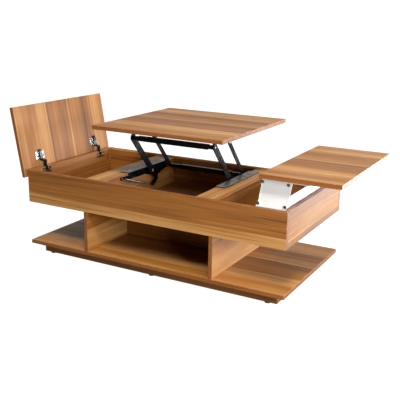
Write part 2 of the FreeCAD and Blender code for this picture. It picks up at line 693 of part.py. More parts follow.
def channel(side):
    """A steel channel under the side top, open along its lower face for the bar's stem."""
    x = side_top_inner + 9.0
    width = size("channel_width")
    wall = size("channel_wall")
    y = plane_start(side, plate_face - width, width)
    low = closed_low - size("channel_height")
    shell = box("channel_shell", "channel_length", "channel_width", "channel_height",
                (x, y, low), side_pose)
    room = box("channel_room", "channel_length + 2", "channel_width - 2 * channel_wall",
               "channel_height - 2 * channel_wall", (x - 1, y + wall, low + wall), side_pose)
    mouth = box("channel_mouth", "channel_length + 2", "side_sheet + 2", "3 * channel_wall",
                (x - 1, y + (width - side_thick) / 2 - 1, low - wall), side_pose)
    return cut("channel", shell, [room, mouth])


def side_base(name, side):
    """A floor bracket in the right compartment that holds the lower pivots."""
    left = base_pivots[0][0] - 13.0
    right = base_pivots[1][0] + 13.0
    top = base_pivots[0][1] + 10.0
    outline = [(left, box_floor), (right, box_floor), (right, top), (left, top)]
    start = plane_start(side, web_near, side_thick) + side_thick
    web = plate("side_web", "side_sheet", xz_pose(start), outlines=[outline],
                holes=[(pivot, side_hole) for pivot in base_pivots])
    depth = inner_depth - web_near - 1.0
    foot = box("side_foot", "side_pivot_spacing + 26", "%s" % depth, "side_sheet",
               (left, plane_start(side, web_near, depth), box_floor))
    node(fuse(name, [web, foot]), name)


def swinging_top():
    """The side top with its plates, links, slides and pins."""
    panel = box("side_top", "side_top_width", "tops_depth", "top_board",
                (side_top_inner, -half_top_depth, closed_low), side_pose)
    node(panel, "side_top")
    node(group("side_channels", [channel(side) for _, side in ENDS]), "side_channels")
    node(group("slide_bars", [slide_bar(side) for _, side in ENDS]), "slide_bars")
    for name, side in ENDS:
        side_plate("side_plate_" + name, side)
        side_base("side_base_" + name, side)
    for name, upper, lower in zip(("left", "right"), upper_pivots, base_pivots):
        links = []
        for _, side in ENDS:
            start = plane_start(side, link_near, side_thick) + side_thick
            links.append(plate("swing_link", "side_sheet", xz_pose(start),
                               bars=[(lower, upper, size("side_link_half"))],
                               holes=[(lower, side_hole), (upper, side_hole)]))
        node(group("swing_links_" + name, links), "swing_links_" + name)
    bar_x = upper_pivots[1][0] - 1.0
    node(box("side_crossbar", "side_sheet", INNER_DEPTH + " - 2 * side_room - 2 * side_sheet",
             "crossbar_height", (bar_x, -plate_face + side_thick, size("plate_low") + 2)),
         "side_crossbar")
    frame_pins = []
    bolts = []
    head = 2.0
    for _, side in ENDS:
        for pivot in upper_pivots:
            stem = across_pin("side_pin_radius", side, plate_face - side_thick,
                              link_near + side_thick + head, pivot)
            cap = across_pin("2 * side_pin_radius", side, link_near + side_thick + 0.1,
                             link_near + side_thick + head, pivot)
            frame_pins.append(fuse("frame_pin", [stem, cap]))
        for pivot in base_pivots:
            fixed_pins.append(across_pin("side_pin_radius", side, link_near + 0.1,
                                         web_near + side_thick, pivot))
        for step in (0, 1):
            place = (upper_pivots[step][0] + size("plate_lean") - 3.0 - 6.0 * step,
                     shelf_top - 10.0)
            bolts.append(across_pin("2 * side_pin_radius", side, plate_face, plate_face + head,
                                    place))
    node(group("frame_pins", frame_pins), "frame_pins")
    node(group("plate_bolts", bolts), "plate_bolts")


def export():
    """Refuse a failed object or a broken solid, then write one file for each node."""
    doc.recompute()
    for obj in doc.Objects:
        if "Invalid" in obj.State or "Error" in obj.State:
            raise RuntimeError("object failed: " + obj.Label)
    for obj in NODES:
        if obj.Shape.isNull() or not obj.Shape.isValid() or not obj.Shape.Solids:
            raise RuntimeError("bad shape: " + obj.Label)
    os.makedirs("parts", exist_ok=True)
    for obj in NODES:
        obj.Shape.exportStep("parts/%s.step" % obj.Label)
    print(len(NODES), "nodes written")


carcass()
left_lid()
lifting_top()
swinging_top()
node(group("fixed_pins", fixed_pins), "fixed_pins")
node(group("base_screws", base_screws), "base_screws")
node(group("front_arm_pins", front_arm_pins), "front_arm_pins")
export()
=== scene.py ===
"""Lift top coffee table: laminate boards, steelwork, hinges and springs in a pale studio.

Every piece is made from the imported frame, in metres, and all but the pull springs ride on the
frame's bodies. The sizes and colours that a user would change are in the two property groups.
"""
import bmesh
import bpy
import json
import math
from mathutils import Matrix, Vector

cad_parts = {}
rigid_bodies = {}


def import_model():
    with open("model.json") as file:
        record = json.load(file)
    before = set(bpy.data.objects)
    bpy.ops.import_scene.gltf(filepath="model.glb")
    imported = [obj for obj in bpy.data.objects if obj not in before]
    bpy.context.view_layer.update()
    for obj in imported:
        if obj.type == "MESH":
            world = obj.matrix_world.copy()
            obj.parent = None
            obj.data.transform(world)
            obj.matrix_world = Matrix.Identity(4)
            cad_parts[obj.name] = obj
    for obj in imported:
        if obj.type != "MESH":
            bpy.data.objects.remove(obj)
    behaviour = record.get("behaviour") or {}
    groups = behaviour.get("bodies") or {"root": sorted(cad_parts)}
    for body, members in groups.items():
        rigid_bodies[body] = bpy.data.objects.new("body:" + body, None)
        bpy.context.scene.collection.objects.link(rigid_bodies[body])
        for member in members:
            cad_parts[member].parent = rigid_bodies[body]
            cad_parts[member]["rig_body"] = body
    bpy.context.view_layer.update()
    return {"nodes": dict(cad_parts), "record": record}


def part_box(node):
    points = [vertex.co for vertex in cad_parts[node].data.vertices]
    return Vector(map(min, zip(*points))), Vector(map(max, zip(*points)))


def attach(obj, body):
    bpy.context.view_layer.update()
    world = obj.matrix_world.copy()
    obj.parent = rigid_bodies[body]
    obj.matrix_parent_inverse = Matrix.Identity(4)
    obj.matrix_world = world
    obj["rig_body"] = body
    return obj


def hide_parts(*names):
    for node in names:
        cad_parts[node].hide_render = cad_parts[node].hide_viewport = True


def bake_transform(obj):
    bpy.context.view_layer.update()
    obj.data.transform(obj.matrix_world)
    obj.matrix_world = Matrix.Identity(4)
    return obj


bl_info = {
    "name": "Lift top coffee table",
    "version": (1, 0, 0),
    "blender": (4, 5, 0),
    "location": "3D View > Sidebar > Coffee table",
    "description": "Finishes a lift top coffee table with laminate, steelwork and a studio",
    "category": "Object",
}

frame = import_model()
RECORD = frame["record"]
SLOTS = {part["node"]: part["material_slot"] for part in RECORD["subparts"]}
JOINTS = {joint["name"]: joint for joint in RECORD["behaviour"]["joints"]}
X, Y, Z = 0, 1, 2
# materials made so far, by slot
FINISHES = {}

# meshes: merging of doubles, joining of flat faces, what counts as a sharp edge
MERGE_DISTANCE = 2e-6
FLAT_ANGLE = math.radians(0.6)
SHARP_ANGLE = math.radians(38)
HEAD_SHARP_ANGLE = math.radians(34)
# a sheet's corner edges: how well they run through the sheet, and how far they turn
THROUGH_SHEET = 0.999
CORNER_TURN = 0.7
CORNER_SEGMENTS = 5
# how far a face looks along the board's or sheet's thin direction: a rounded edge between these
# two shares, a taped edge less than the limit; and how far the top of a flange looks up to take the
# painted reflection
RIM_RANGE = (0.1, 0.97)
TAPE_LIMIT = 0.5
FLANGE_TOP = 0.9

# a screw head of radius and height 1: its (radius, height) rings, and its cross recess
DOME_RINGS = ((1.0, 0.0), (1.0, 0.34), (0.93, 0.68), (0.76, 0.91), (0.58, 1.0))
HEAD_SIDES = 24
CROSS_WAIST = 0.42
RECESS_TAPER = 0.85
RECESS_FLOOR = 0.3

# pull spring, from the pivot at its upper end: metres, and the coil's pitch in wire radii
EYE_RADIUS = 0.0055
EYE_TO_TIP = 0.007
COIL_START = 0.022
COIL_TO_EYE = 0.045
COIL_PITCH = 2.25
HOOK_OVERLAP = 0.004

# rounding of the tubes' thinner ends against their sleeves, and of the soft parts, in metres
TUBE_END_SHARE = 0.7
GLIDE_ROUND = 0.0012
BUMPER_ROUND = 0.0008
# a screw is in the left end wall if it is within this distance of it, and in a rail otherwise
WALL_SCREW_REACH = 0.01

# settled dust, bare metal, and the painted reflection on the upward faces of the base brackets
BOARD_DUST = (0.6, 0.55, 0.5)
STEEL_DUST = (0.35, 0.33, 0.3)
BARE_STEEL = (0.55, 0.55, 0.56)
# painted reflection: how far the upward faces of the base brackets are mixed towards a lighter
# grey-green
PAINTED_SHEEN_SHARE = 0.75
PAINTED_SHEEN_COLOUR = (0.17, 0.18, 0.16)

# each paint: its colour, gloss and wear
PAINTS = {
    "black_steel": {"colour": "black_paint", "roughness": 0.24, "coat": 0.05, "gleam": 0.12,
                    "wear_amount": 0.2, "mottle": 0.5},
    "black_hinge": {"colour": "black_paint", "roughness": 0.26, "coat": 0.1, "gleam": 0.3,
                    "wear_amount": 0.3, "mottle": 0.5},
    "white_steel": {"colour": "white_paint", "roughness": 0.38, "coat": 0.2, "gleam": 0.5,
                    "wear_amount": 0.05, "mottle": 0.06},
}
# each bare metal: its colour, the tarnish, the gloss and the scale of its drawn lines
METALS = {
    "bright_plating": {"colour": "plating", "dull_colour": (0.35, 0.33, 0.30),
                       "roughness": 0.08, "along": (120.0, 60.0, 500.0)},
    "fastener_steel": {"colour": "fastener", "dull_colour": (0.30, 0.24, 0.15),
                       "roughness": 0.24, "along": (300.0, 300.0, 300.0)},
    "spring_steel": {"colour": "spring", "dull_colour": (0.06, 0.055, 0.05),
                     "roughness": 0.2, "along": (500.0, 60.0, 60.0)},
}
# each moulded part: its colour, gloss and how far light goes into it
MOULDED = {
    "glide_plastic": {"colour": "glide", "roughness": 0.5, "see_through": 0.0},
    "bumper_rubber": {"colour": "bumper", "roughness": 0.55, "see_through": 0.2},
}

# each soft light: where it stands, what it faces, its size, power and colour
LIGHTS = {
    "key": ((1.2, -2.3, 3.7), (0.1, 0.0, 0.3), 1.1, 205.0, (1.0, 0.97, 0.92)),
    "side": ((2.6, -1.7, 0.9), (0.4, 0.0, 0.2), 0.8, 62.0, (1.0, 0.98, 0.96)),
    "wash": ((1.75, 1.35, 0.42), (0.6, 0.0, 0.25), 0.9, 62.0, (0.94, 0.97, 1.0)),
    "above": ((0.2, 0.6, 3.8), (0.0, 0.0, 0.4), 2.2, 12.0, (1.0, 0.97, 0.93)),
}
# surroundings: the direction they are brightest in, how they rise towards it, and their tint
SKY_TOWARD = (0.2, 0.93, 0.3)
SKY_FROM, SKY_TO = -0.1, 0.9
SKY_DIM, SKY_BRIGHT = 0.02, 0.72
SKY_SEEN = 1.1
SKY_TINT = (1.0, 0.97, 0.91)
WHITE = (1.0, 1.0, 1.0)
FLOOR_SIZE = 14.0
FLOOR_DARK = (0.22, 0.22, 0.22)
FLOOR_LIGHT = (0.25, 0.25, 0.25)
FLOOR_GLOW = 0.96

# printed figure of the laminate across one repeat: (distance in metres, tone from dark to light)
PRINT_REPEAT = 0.6
PRINT_TONES = (
    (0.000, 0.50), (0.030, 0.62), (0.050, 0.42), (0.088, 0.46), (0.104, 0.70), (0.130, 0.92),
    (0.170, 0.84), (0.175, 1.00), (0.179, 0.36), (0.230, 0.30), (0.300, 0.14), (0.318, 0.22),
    (0.322, 0.92), (0.330, 0.60), (0.400, 0.36), (0.440, 0.18), (0.466, 0.30), (0.470, 0.95),
    (0.476, 0.72), (0.510, 0.88), (0.550, 0.80), (0.560, 0.52), (0.599, 0.62),
)

# each board: direction of the grain, direction across it, start of the print across the board,
# and shift of the figure along the grain
TOP_BOARDS = {
    "left_lid": (X, Y, -0.029, 0.7),
    "middle_top": (X, Y, 0.0, 0.0),
    "side_top": (X, Y, 0.0, 2.3),
}
BOX_BOARDS = {
    "box_front": (X, Z, 0.130, 4.1),
    "box_rear": (X, Z, 0.330, 5.3),
    "box_end_left": (Y, Z, 0.150, 1.9),
    "box_end_right": (Y, Z, 0.290, 3.4),
    "box_bottom": (X, Y, 0.080, 6.2),
    "rail_left": (Y, X, 0.470, 7.5),
    "rail_right": (Y, X, 0.475, 8.8),
    "partition_left_inner": (Y, Z, 0.480, 2.2),
    "partition_left_outer": (Y, Z, 0.340, 9.1),
    "partition_right_inner": (Y, Z, 0.200, 3.7),
    "partition_right_outer": (Y, Z, 0.360, 4.9),
}
BASE_BOARDS = {
    "base_panel": (X, Y, 0.008, 10.4),
    "divider_left": (Y, Z, 0.450, 6.6),
    "divider_right": (Y, Z, 0.460, 1.2),
    "middle_panel": (X, Z, 0.200, 5.9),
    "plinth_front": (X, Z, 0.210, 2.7),
    "plinth_rear": (X, Z, 0.210, 3.1),
    "plinth_left": (Y, Z, 0.210, 4.4),
    "plinth_middle": (Y, Z, 0.210, 7.2),
    "plinth_right": (Y, Z, 0.210, 8.1),
}
LIFT_STEEL = (
    "base_bracket_left", "base_bracket_right", "top_bracket_left", "top_bracket_right",
    "front_arm_left", "front_arm_right", "rear_arm_left", "rear_arm_right",
    "upper_tube_sleeve", "upper_tube_ends", "lower_tube_sleeve", "lower_tube_ends",
)
SIDE_STEEL = (
    "side_plate_front", "side_plate_rear", "side_base_front", "side_base_rear", "side_crossbar",
    "slide_bars", "side_channels", "swing_links_left", "swing_links_right",
)
HINGE_STEEL = ("hinge_cups", "hinge_arms", "hinge_plates")
PINS = ("fixed_pins", "front_arm_pins", "upper_rear_pins", "frame_pins")


# ---- small helpers for node trees ----

def put(tree, kind, inputs=None, **settings):
    """Add a node, set its options, and link or set its inputs."""
    node = tree.nodes.new(kind)
    for name, value in settings.items():
        setattr(node, name, value)
    for key, value in (inputs or {}).items():
        if isinstance(value, bpy.types.NodeSocket):
            tree.links.new(value, node.inputs[key])
        else:
            node.inputs[key].default_value = value
    return node


def math_node(tree, operation, *values, clamp=False):
    """A Math node's result for two or three values or sockets."""
    node = put(tree, "ShaderNodeMath", dict(enumerate(values)), operation=operation)
    node.use_clamp = clamp
    return node.outputs[0]


def stretched(tree, vector, scale, shift=(0.0, 0.0, 0.0)):
    """A vector scaled differently along its three directions."""
    node = put(tree, "ShaderNodeMapping", {"Vector": vector, "Scale": scale, "Location": shift})
    return node.outputs[0]


def noise(tree, vector, scale=1.0, detail=2.0, roughness=0.5, distortion=0.0):
    """The value of a noise texture."""
    inputs = {"Vector": vector, "Scale": scale, "Detail": detail, "Roughness": roughness,
              "Distortion": distortion}
    return put(tree, "ShaderNodeTexNoise", inputs).outputs[0]


def spread(tree, value, low, high, start=0.0, end=1.0):
    """A value mapped from one range to another, kept inside it."""
    inputs = {0: value, 1: low, 2: high, 3: start, 4: end}
    return put(tree, "ShaderNodeMapRange", inputs, clamp=True).outputs[0]


def ramp(tree, value, stops):
    """A colour ramp over (place, colour) stops."""
    node = put(tree, "ShaderNodeValToRGB", {0: value})
    elements = node.color_ramp.elements
    elements[1].position = stops[-1][0]
    for place, _ in stops[1:-1]:
        elements.new(place)
    for element, (place, colour) in zip(elements, stops):
        element.position = place
        element.color = (*colour, 1.0)
    return node.outputs[0]


def mixed(tree, factor, first, second, blend="MIX"):
    """Two colours mixed by a factor."""
    node = put(tree, "ShaderNodeMix", data_type="RGBA", blend_type=blend)
    for index, value in ((0, factor), (6, first), (7, second)):
        if isinstance(value, bpy.types.NodeSocket):
            tree.links.new(value, node.inputs[index])
        elif index == 0:
            node.inputs[index].default_value = value
        else:
            node.inputs[index].default_value = (*value[:3], 1.0)
    return node.outputs[2]


def shader_group(name, inputs, outputs):
    """An empty shader group with named inputs and outputs, and the sockets at its two ends."""
    tree = bpy.data.node_groups.new(name, "ShaderNodeTree")
    for label, kind, value in inputs:
        socket = tree.interface.new_socket(label, in_out="INPUT", socket_type="NodeSocket" + kind)
        if value is not None:
            socket.default_value = value
    for label, kind in outputs:
        tree.interface.new_socket(label, in_out="OUTPUT", socket_type="NodeSocket" + kind)
    return tree, tree.nodes.new("NodeGroupInput").outputs, tree.nodes.new("NodeGroupOutput").inputs


def use_group(tree, name, **inputs):
    """Place a shader group in a material with its own values."""
    node = tree.nodes.new("ShaderNodeGroup")
    node.node_tree = bpy.data.node_groups[name]
    for key, value in inputs.items():
        label = key.replace("_", " ")
        if isinstance(value, bpy.types.NodeSocket):
            tree.links.new(value, node.inputs[label])
        else:
            node.inputs[label].default_value = value
    return node.outputs


# ---- shader groups shared by the materials ----

def make_laminate_group():
    """Printed planks of changing tone with long streaks and fine pores along the grain."""
    tree, given, out = shader_group(
        "laminate_figure",
        [("Grain", "Vector", None), ("Band Share", "Float", 0.5), ("Vein Share", "Float", 0.3)],
        [("Tone", "Float"), ("Fine", "Float")])
    parts = put(tree, "ShaderNodeSeparateXYZ", {0: given["Grain"]}).outputs
    drift = noise(tree, stretched(tree, given["Grain"], (0.8, 3.0, 0.0)), detail=1.0)
    waver = 0.012
    across = math_node(tree, "MULTIPLY_ADD", drift, waver, parts["Y"])
    turn = math_node(tree, "FRACT", math_node(tree, "DIVIDE", across, PRINT_REPEAT))
    stops = [(place / PRINT_REPEAT, (tone, tone, tone)) for place, tone in PRINT_TONES]
    band = ramp(tree, turn, stops)
    broad = noise(tree, stretched(tree, given["Grain"], (1.1, 17.0, 17.0)),
                  detail=3.0, roughness=0.55, distortion=0.6)
    streak = noise(tree, stretched(tree, given["Grain"], (2.4, 110.0, 110.0)),
                   detail=4.0, roughness=0.7, distortion=0.1)
    vein = noise(tree, stretched(tree, given["Grain"], (1.1, 85.0, 85.0), (3.0, 7.0, 1.0)),
                 detail=3.0, roughness=0.6, distortion=0.5)
    vein = spread(tree, vein, 0.56, 0.66)
    figure = math_node(tree, "MULTIPLY_ADD", broad, 0.5, math_node(tree, "MULTIPLY", streak, 0.5))
    figure = spread(tree, figure, 0.37, 0.63)
    rest = math_node(tree, "SUBTRACT", 1.0, given["Band Share"])
    tone = math_node(tree, "MULTIPLY_ADD", figure, rest,
                     math_node(tree, "MULTIPLY", band, given["Band Share"]))
    veins = math_node(tree, "MULTIPLY", vein, given["Vein Share"])
    tone = math_node(tree, "SUBTRACT", tone, veins, clamp=True)
    pores = noise(tree, stretched(tree, given["Grain"], (40.0, 900.0, 900.0)), roughness=0.6)
    tree.links.new(tone, out["Tone"])
    tree.links.new(pores, out["Fine"])


def make_wear_group():
    """Broken wear along a masked edge."""
    tree, given, out = shader_group(
        "edge_wear",
        [("Vector", "Vector", None), ("Mask", "Float", 0.0), ("Scale", "Float", 60.0),
         ("Amount", "Float", 0.5)],
        [("Wear", "Float")])
    patch = noise(tree, given["Vector"], given["Scale"], detail=4.0, roughness=0.65)
    limit = math_node(tree, "SUBTRACT", 0.75, math_node(tree, "MULTIPLY", given["Amount"], 0.4))
    worn = spread(tree, patch, limit, 0.8)
    tree.links.new(math_node(tree, "MULTIPLY", worn, given["Mask"]), out["Wear"])


def make_handling_group():
    """Faint smudges that change the gloss, and settled specks of dust."""
    tree, given, out = shader_group(
        "handling_marks",
        [("Vector", "Vector", None), ("Scale", "Float", 9.0)],
        [("Smudge", "Float"), ("Dust", "Float")])
    smudge = noise(tree, given["Vector"], given["Scale"],
                   detail=3.0, roughness=0.6, distortion=0.8)
    speck_scale = math_node(tree, "MULTIPLY", given["Scale"], 45.0)
    specks = noise(tree, given["Vector"], speck_scale, detail=1.0)
    tree.links.new(spread(tree, smudge, 0.35, 0.7), out["Smudge"])
    tree.links.new(spread(tree, specks, 0.68, 0.8), out["Dust"])


def make_paint_group():
    """The slight ripple and mottle of sprayed powder paint."""
    tree, given, out = shader_group(
        "powder_skin",
        [("Vector", "Vector", None), ("Scale", "Float", 700.0)],
        [("Height", "Float"), ("Mottle", "Float")])
    ripple = noise(tree, given["Vector"], given["Scale"])
    mottle_scale = math_node(tree, "MULTIPLY", given["Scale"], 0.03)
    mottle = noise(tree, given["Vector"], mottle_scale, detail=3.0, roughness=0.6)
    tree.links.new(ripple, out["Height"])
    tree.links.new(spread(tree, mottle, 0.3, 0.7), out["Mottle"])


def make_drawn_group():
    """Fine drawn lines of bare or plated steel."""
    tree, given, out = shader_group(
        "drawn_lines",
        [("Vector", "Vector", None), ("Along", "Vector", (30.0, 900.0, 900.0))],
        [("Lines", "Float"), ("Tarnish", "Float")])
    lines = put(tree, "ShaderNodeVectorMath", {0: given["Vector"], 1: given["Along"]},
                operation="MULTIPLY").outputs[0]
    tree.links.new(noise(tree, lines, detail=3.0, roughness=0.6), out["Lines"])
    stain = noise(tree, given["Vector"], 55.0, detail=3.0, roughness=0.6)
    tree.links.new(spread(tree, stain, 0.35, 0.75), out["Tarnish"])


# ---- materials ----

def new_material(name):
    """A material with its Principled shader, and the object's own coordinates."""
    material = bpy.data.materials.new(name)
    material.use_nodes = True
    tree = material.node_tree
    shader = tree.nodes["Principled BSDF"]
    place = tree.nodes.new("ShaderNodeTexCoord").outputs["Object"]
    return material, tree, shader, place


def attribute(tree, name, output):
    """One of the mesh's own attributes."""
    return put(tree, "ShaderNodeAttribute", attribute_name=name).outputs[output]


def bump(tree, shader, height, strength, distance):
    """Feed a height into the shader's normal."""
    inputs = {"Height": height, "Strength": strength, "Distance": distance}
    node = put(tree, "ShaderNodeBump", inputs)
    tree.links.new(node.outputs[0], shader.inputs["Normal"])


def laminate_material(colours):
    """Satin wood-grain laminate with a plain band of edging tape."""
    material, tree, shader, place = new_material("walnut_board")
    grain = attribute(tree, "grain", "Vector")
    figure = use_group(tree, "laminate_figure", Grain=grain, Band_Share=0.60, Vein_Share=0.26)
    dark, middle, light = colours.board_dark, colours.board_middle, colours.board_light
    face = ramp(tree, figure["Tone"], [(0.0, dark), (0.5, middle), (1.0, light)])
    tape_tone = noise(tree, stretched(tree, grain, (3.0, 60.0, 160.0)), detail=3.0, roughness=0.6)
    tape = mixed(tree, spread(tree, tape_tone, 0.3, 0.7), colours.edge_dark, colours.edge_light)
    surface = mixed(tree, attribute(tree, "tape", "Fac"), face, tape)
    wear = use_group(tree, "edge_wear", Vector=place, Mask=attribute(tree, "rim", "Fac"),
                     Scale=90.0, Amount=0.55)
    paler = [1.35 * part for part in colours.board_light]
    surface = mixed(tree, wear["Wear"], surface, paler)
    marks = use_group(tree, "handling_marks", Vector=place, Scale=7.0)
    dust = math_node(tree, "MULTIPLY", marks["Dust"], 0.12)
    surface = mixed(tree, dust, surface, BOARD_DUST)
    tree.links.new(surface, shader.inputs["Base Color"])
    gloss = spread(tree, marks["Smudge"], 0.0, 1.0, 0.36, 0.48)
    gloss = math_node(tree, "MULTIPLY_ADD", figure["Fine"], 0.10, gloss)
    tree.links.new(gloss, shader.inputs["Roughness"])
    shader.inputs["Specular IOR Level"].default_value = 0.5
    height = math_node(tree, "MULTIPLY_ADD", figure["Fine"], 0.5, figure["Tone"])
    bump(tree, shader, height, strength=0.12, distance=0.0004)
    return material


def painted_material(name, colour, roughness, coat, gleam, wear_amount, mottle):
    """Powder-painted steel that wears along its edges, with a painted reflection on the upward
    faces of the base brackets.
    """
    material, tree, shader, place = new_material(name)
    skin = use_group(tree, "powder_skin", Vector=place, Scale=700.0)
    marks = use_group(tree, "handling_marks", Vector=place, Scale=14.0)
    deeper = [(1.0 - mottle) * part for part in colour]
    surface = mixed(tree, skin["Mottle"], deeper, colour)
    dust = math_node(tree, "MULTIPLY", marks["Dust"], 0.05)
    surface = mixed(tree, dust, surface, STEEL_DUST)
    # painted reflection: the upward faces of the base brackets take a lighter grey-green, as if
    # mirroring the bright surroundings
    painted_sheen = math_node(tree, "MULTIPLY", attribute(tree, "painted_sheen", "Fac"), PAINTED_SHEEN_SHARE)
    surface = mixed(tree, painted_sheen, surface, PAINTED_SHEEN_COLOUR)
    wear = use_group(tree, "edge_wear", Vector=place, Mask=attribute(tree, "rim", "Fac"),
                     Scale=130.0, Amount=wear_amount)
    surface = mixed(tree, wear["Wear"], surface, BARE_STEEL)
    tree.links.new(surface, shader.inputs["Base Color"])
    tree.links.new(spread(tree, marks["Smudge"], 0.0, 1.0, roughness - 0.05, roughness + 0.1),
                   shader.inputs["Roughness"])
    tree.links.new(math_node(tree, "MULTIPLY", wear["Wear"], 0.9), shader.inputs["Metallic"])
    shader.inputs["Specular IOR Level"].default_value = gleam
    shader.inputs["Coat Weight"].default_value = coat
    shader.inputs["Coat Roughness"].default_value = 0.18
    bump(tree, shader, skin["Height"], strength=0.15, distance=0.0002)
    return material


def bare_material(name, colour, dull_colour, roughness, along):
    """Plated or bare steel with drawn lines and a little tarnish."""
    material, tree, shader, place = new_material(name)
    lines = use_group(tree, "drawn_lines", Vector=place, Along=along)
    marks = use_group(tree, "handling_marks", Vector=place, Scale=20.0)
    surface = mixed(tree, math_node(tree, "MULTIPLY", lines["Tarnish"], 0.6), colour, dull_colour)
    wear = use_group(tree, "edge_wear", Vector=place, Mask=attribute(tree, "rim", "Fac"),
                     Scale=200.0, Amount=0.4)
    brighter = [min(1.0, 1.2 * part) for part in colour]
    surface = mixed(tree, wear["Wear"], surface, brighter)
    tree.links.new(surface, shader.inputs["Base Color"])
    shader.inputs["Metallic"].default_value = 1.0
    gloss = math_node(tree, "MULTIPLY_ADD", lines["Lines"], 0.16, roughness)
    gloss = math_node(tree, "MULTIPLY_ADD", marks["Smudge"], 0.08, gloss)
    tree.links.new(gloss, shader.inputs["Roughness"])
    bump(tree, shader, lines["Lines"], strength=0.10, distance=0.0001)
    return material


def moulded_material(name, colour, roughness, see_through):
    """Moulded plastic or rubber with a fine matt texture."""
    material, tree, shader, place = new_material(name)
    grit = noise(tree, place, 1500.0, roughness=0.6)
    cloud = noise(tree, place, 90.0)
    deeper = [0.8 * part for part in colour]
    surface = mixed(tree, spread(tree, cloud, 0.3, 0.7), deeper, colour)
    tree.links.new(surface, shader.inputs["Base Color"])
    tree.links.new(spread(tree, grit, 0.2, 0.8, roughness - 0.08, roughness + 0.08),
                   shader.inputs["Roughness"])
    shader.inputs["Subsurface Weight"].default_value = see_through
    bump(tree, shader, grit, strength=0.2, distance=0.0002)
    return material


def make_finish(slot_name, colours):
    """A new material for one of the record's slots."""
    if slot_name == "walnut_board":
        return laminate_material(colours)
    for table, maker in ((PAINTS, painted_material), (METALS, bare_material),
                         (MOULDED, moulded_material)):
        if slot_name in table:
            values = dict(table[slot_name])
            values["colour"] = getattr(colours, values["colour"])
            return maker(slot_name, **values)
    raise ValueError("no finish for the slot " + slot_name)


def finish_of(slot_name):
    """The material for one of the record's slots, made the first time it is asked for."""
    if not FINISHES:
        make_laminate_group()
        make_wear_group()
        make_handling_group()
        make_paint_group()
        make_drawn_group()
    if slot_name not in FINISHES:
        FINISHES[slot_name] = make_finish(slot_name, bpy.context.scene.table_colours)
    return FINISHES[slot_name]


# ---- shaping ----

def merged(node):
    """A CAD node's mesh with its doubles merged and its flat faces joined."""
    form = bmesh.new()
    form.from_mesh(frame["nodes"][node].data)
    bmesh.ops.remove_doubles(form, verts=form.verts, dist=MERGE_DISTANCE)
    bmesh.ops.dissolve_limit(form, angle_limit=FLAT_ANGLE, verts=form.verts, edges=form.edges)
    return form


def thin_direction(form):
    """The direction in which a sheet or board is thinnest, one of the frame's axes."""
    spans = []
    for axis in (X, Y, Z):
        values = [vertex.co[axis] for vertex in form.verts]
        spans.append(max(values) - min(values))
    return spans.index(min(spans))


def round_corners(form, axis, radius):
    """Round the outline's corners: the sharp edges that run through the sheet."""
    sharp = []
    for edge in form.edges:
        run = (edge.verts[0].co - edge.verts[1].co).normalized()
        through = abs(run[axis]) > THROUGH_SHEET and len(edge.link_faces) == 2
        if through and edge.calc_face_angle() > CORNER_TURN:
            sharp.append(edge)
    bmesh.ops.bevel(form, geom=sharp, offset=radius, segments=CORNER_SEGMENTS, affect="EDGES",
                    profile=0.5, clamp_overlap=True)


def place_piece(name, mesh, body, slot_name, *nodes):
    """Link a finished mesh as a piece that rides on a body and stands for CAD nodes."""
    piece = bpy.data.objects.new(name, mesh)
    bpy.context.scene.collection.objects.link(piece)
    if not mesh.materials:
        mesh.materials.append(finish_of(slot_name))
    if body:
        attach(piece, body)
    if nodes:
        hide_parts(*nodes)
    return piece


def baked(piece):
    """The piece's evaluated mesh, with its modifiers built in."""
    bpy.context.view_layer.update()
    graph = bpy.context.evaluated_depsgraph_get()
    mesh = bpy.data.meshes.new_from_object(piece.evaluated_get(graph), depsgraph=graph,
                                           preserve_all_data_layers=True)
    bpy.data.objects.remove(piece)
    return mesh


def softened(form, name, width, segments=2):
    """A mesh whose sharp edges are rounded, with hardened normals on its flats."""
    mesh = bpy.data.meshes.new(name)
    form.to_mesh(mesh)
    form.free()
    mesh.shade_smooth()
    mesh.set_sharp_from_angle(angle=SHARP_ANGLE)
    draft = bpy.data.objects.new(name + "_draft", mesh)
    bpy.context.scene.collection.objects.link(draft)
    bevel = draft.modifiers.new("rounded edges", "BEVEL")
    bevel.width = width
    bevel.segments = segments
    bevel.limit_method = "ANGLE"
    bevel.angle_limit = SHARP_ANGLE
    bevel.harden_normals = True
    result = baked(draft)
    result.name = name
    return result


def mark_faces(mesh, name, values):
    """Store one number for each face as an attribute."""
    layer = mesh.attributes.new(name, "FLOAT", "FACE")
    layer.data.foreach_set("value", values)


def mark_rim(mesh, facing):
    """Mark the rounded edges, which face neither along the thin direction nor across it."""
    low, high = RIM_RANGE
    mark_faces(mesh, "rim", [1.0 if low < value < high else 0.0 for value in facing])


def body_of(node):
    """The body that a CAD node belongs to."""
    return frame["nodes"][node]["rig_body"]


def lid_closed():
    """The turn that lays the opened lid flat again."""
    hinge = JOINTS["lid_hinge"]
    pivot = Vector(hinge["pos_m"])
    turn = Matrix.Rotation(math.radians(hinge["range_deg"][1]), 4, Vector(hinge["axis"]))
    return Matrix.Translation(pivot) @ turn @ Matrix.Translation(-pivot)


def board_piece(node, layout, width):
    """A laminate board with taped edges, softened corners and its own run of grain."""
    along, across, start, shift = layout
    form = merged(node)
    flat = lid_closed() if node == "left_lid" else Matrix.Identity(4)
    turned = flat.to_3x3()
    thin = ({X, Y, Z} - {along, across}).pop()
    mesh = softened(form, node + "_board", width)
    points = [flat @ vertex.co for vertex in mesh.vertices]
    low = min(point[across] for point in points)
    layer = mesh.attributes.new("grain", "FLOAT_VECTOR", "POINT")
    for item, point in zip(layer.data, points):
        item.vector = (point[along] + shift, point[across] - low + start, point[thin] + shift)
    facing = [abs((turned @ face.normal)[thin]) for face in mesh.polygons]
    mark_faces(mesh, "tape", [1.0 if value < TAPE_LIMIT else 0.0 for value in facing])
    mark_rim(mesh, facing)
    return place_piece(node + "_board", mesh, body_of(node), "walnut_board", node)


